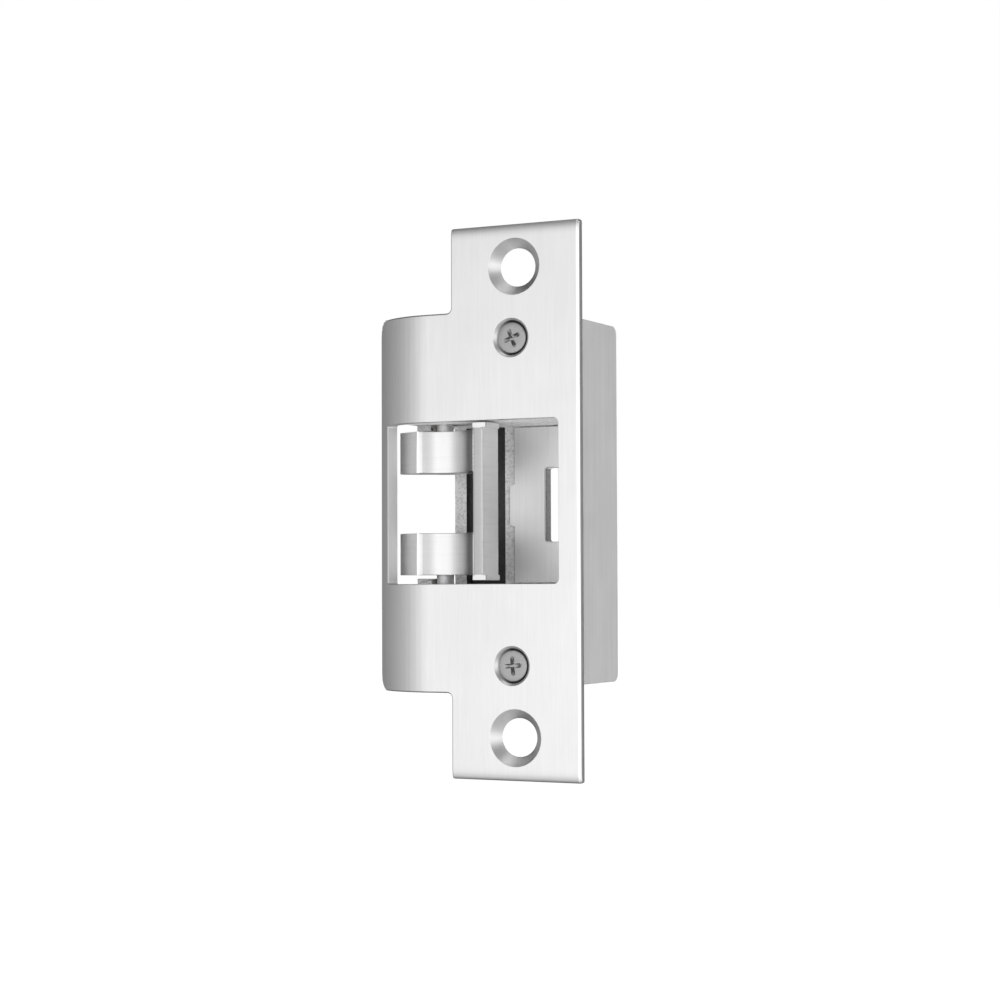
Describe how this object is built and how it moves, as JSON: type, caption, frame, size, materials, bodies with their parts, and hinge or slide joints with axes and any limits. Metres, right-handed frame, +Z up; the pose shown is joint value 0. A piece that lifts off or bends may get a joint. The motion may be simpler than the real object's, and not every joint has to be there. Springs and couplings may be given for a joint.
{
  "type": "electric door strike",
  "caption": "Electric door strike: lipped strike plate over a case whose swinging keeper frees a latch bolt, locked by a solenoid.",
  "frame": {"origin": "centre of the strike plate's front face, midway between its two fixing holes", "axes": "+X across the plate away from the lip, +Y into the jamb, +Z up along the plate"},
  "size_m": [0.0557, 0.0266, 0.1238],
  "materials": {
    "stainless": "fine brushed stainless steel",
    "case_metal": "brushed outside, cast inside",
    "zinc": "bright zinc plate",
    "steel": "ground steel",
    "bronze": "sintered bronze",
    "spring_wire": "drawn spring wire",
    "winding": "enamelled copper wire",
    "nylon": "moulded nylon",
    "brass": "bright brass",
    "red_lead": "insulation",
    "black_lead": "insulation"
  },
  "bodies": {
    "housing": {"faceplate": "stainless", "case": "case_metal", "pocket_liner": "stainless", "upper_rear_cover": "case_metal", "lower_rear_cover": "case_metal", "upper_cover_screw_left": "zinc", "upper_cover_screw_right": "zinc", "lower_cover_screw_left": "zinc", "lower_cover_screw_right": "zinc", "upper_faceplate_screw": "zinc", "lower_faceplate_screw": "zinc", "upper_bush": "bronze", "lower_bush": "bronze", "keeper_spring": "spring_wire", "lever_pin": "steel", "lever_clip": "steel", "lever_spring": "spring_wire", "solenoid_frame": "steel", "bobbin": "nylon", "coil": "winding", "core": "steel", "solenoid_screw_left": "zinc", "solenoid_screw_right": "zinc", "connector_housing": "nylon", "contact_a": "brass", "contact_b": "brass", "coil_lead_a": "red_lead", "coil_lead_b": "black_lead"},
    "keeper_assembly": {"keeper": "stainless", "upper_keeper_shaft": "steel", "lower_pivot_pin": "steel", "keeper_cam": "steel", "shaft_clip": "steel", "pin_clip": "steel", "spring_collar": "zinc"},
    "plunger_assembly": {"plunger": "steel", "link_pin": "steel"},
    "lever": {"locking_lever": "steel"}
  },
  "joints": [
    {"name": "keeper_swing", "type": "hinge", "parent": "housing", "child": "keeper_assembly", "pos_m": [-0.0237, 0.012, 0], "axis": [0, 0, 1], "range_deg": [-70, 0], "stiffness_Nm_per_rad": 0.02, "springref_deg": 10, "deforming": ["keeper_spring"]},
    {"name": "plunger_stroke", "type": "slide", "parent": "housing", "child": "plunger_assembly", "axis": [1, 0, 0], "range_m": [0, 0.0025], "stiffness_N_per_m": 200, "springref_m": -0.002, "deforming": ["lever_spring"]},
    {"name": "lever_turn", "type": "hinge", "parent": "housing", "child": "lever", "pos_m": [-0.0125, 0.0135, 0.0296], "axis": [0, 0, 1], "range_deg": [-25, 0]}
  ],
  "couplings": [
    {"joint": "lever_turn", "follows": "plunger_stroke", "rad_per_m": -173.2}
  ]
}
